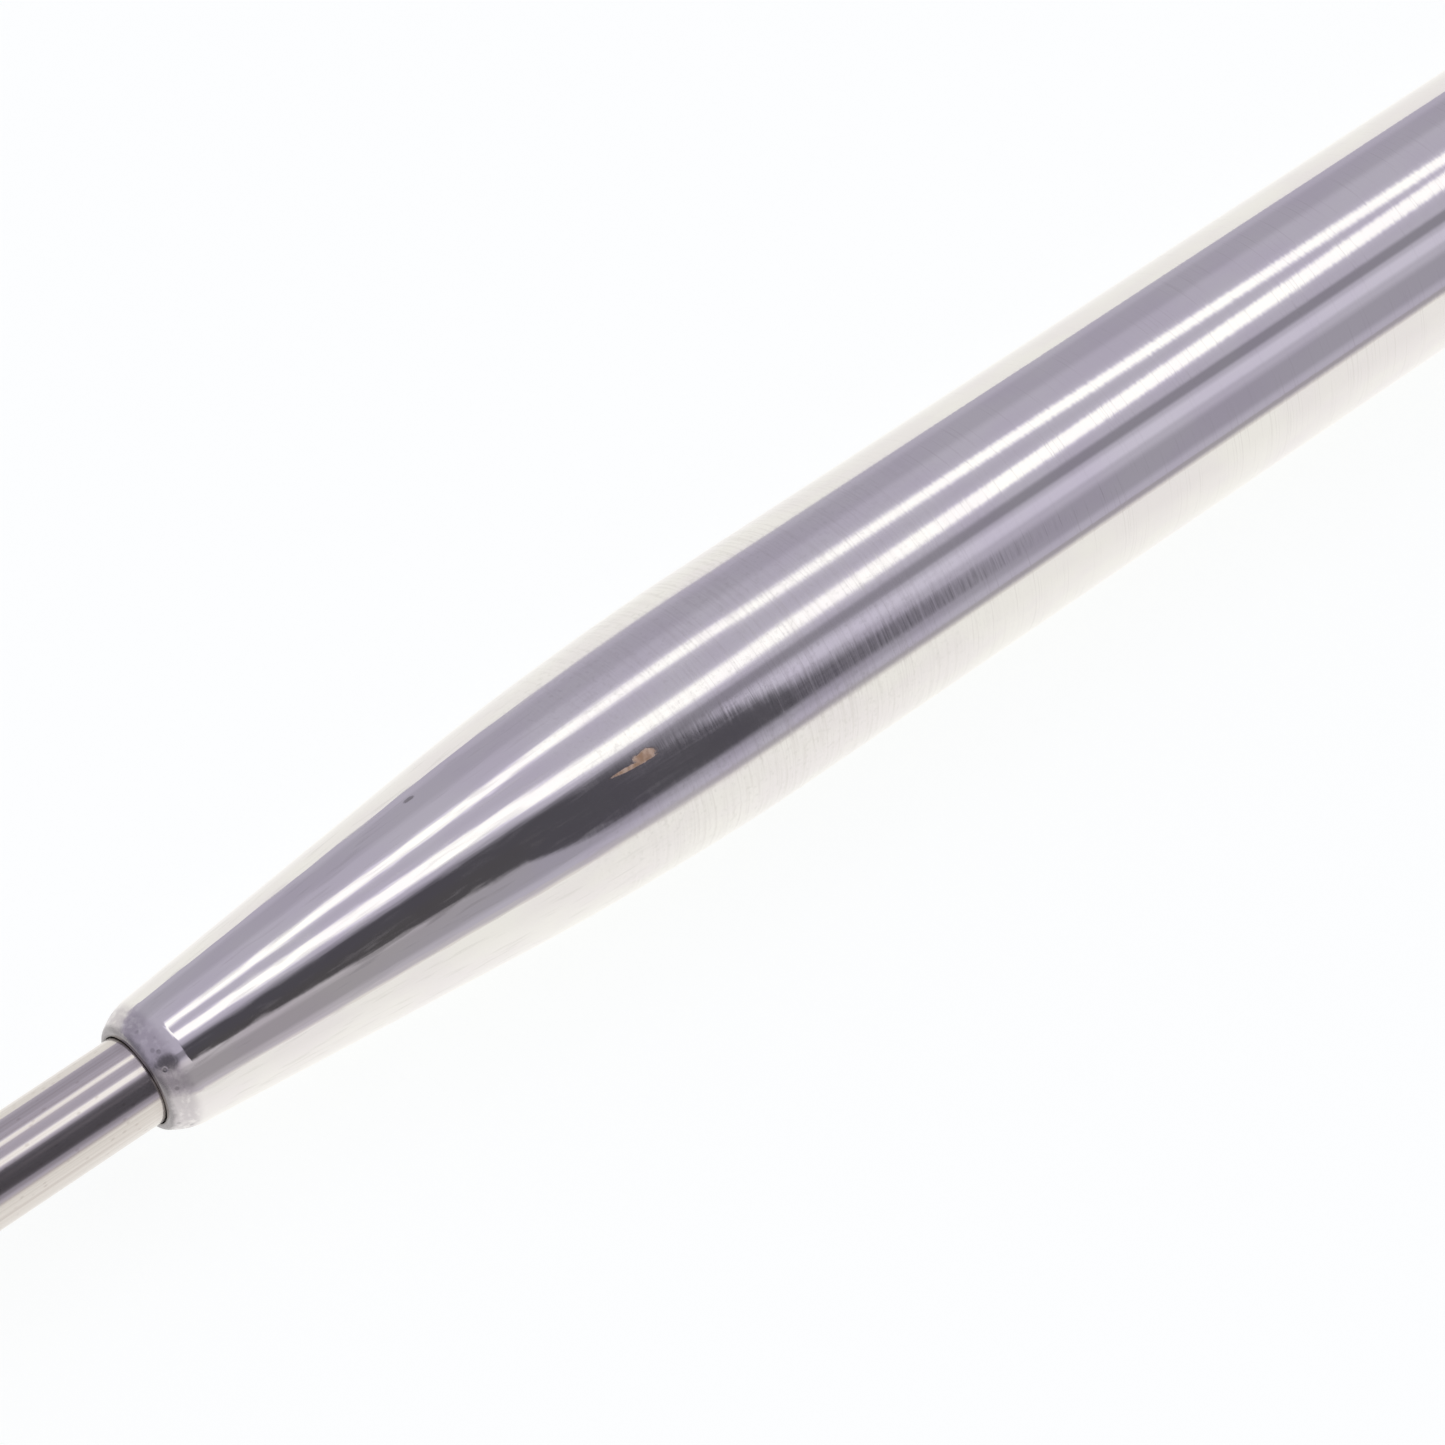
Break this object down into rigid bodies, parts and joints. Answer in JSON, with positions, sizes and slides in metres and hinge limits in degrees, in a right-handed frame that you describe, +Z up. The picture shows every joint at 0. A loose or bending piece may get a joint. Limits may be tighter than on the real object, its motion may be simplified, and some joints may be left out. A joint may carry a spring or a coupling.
{
  "type": "pricking iron",
  "caption": "Slender pricking iron: tapered polished tubular handle, thin shank, and a flat head with slanted chisel tines.",
  "frame": {"origin": "under the middle of the tool's overall length, on the surface that the handle lies on", "axes": "+X along the tool from the tine points to the striking cap, the row of tines along Y, +Z up from the surface"},
  "size_m": [0.1466, 0.012, 0.008],
  "materials": {
    "polished_tube": "mirror-polished nickel plate over a copper strike, faint buffing marks",
    "shank_steel": "polished drawn rod with faint lengthwise marks",
    "head_steel": "hardened, satin plated and finely ground, tines honed bright",
    "pin_steel": "riveted and filed flush",
    "bush_brass": "turned",
    "cap_steel": "turned, polished and nickel plated, dulled by blows on its face"
  },
  "bodies": {
    "root": {"handle_tube": "polished_tube", "shank_rod": "shank_steel", "pricking_head": "head_steel", "head_pin": "pin_steel", "centring_bush": "bush_brass", "striking_cap": "cap_steel"}
  },
  "joints": []
}
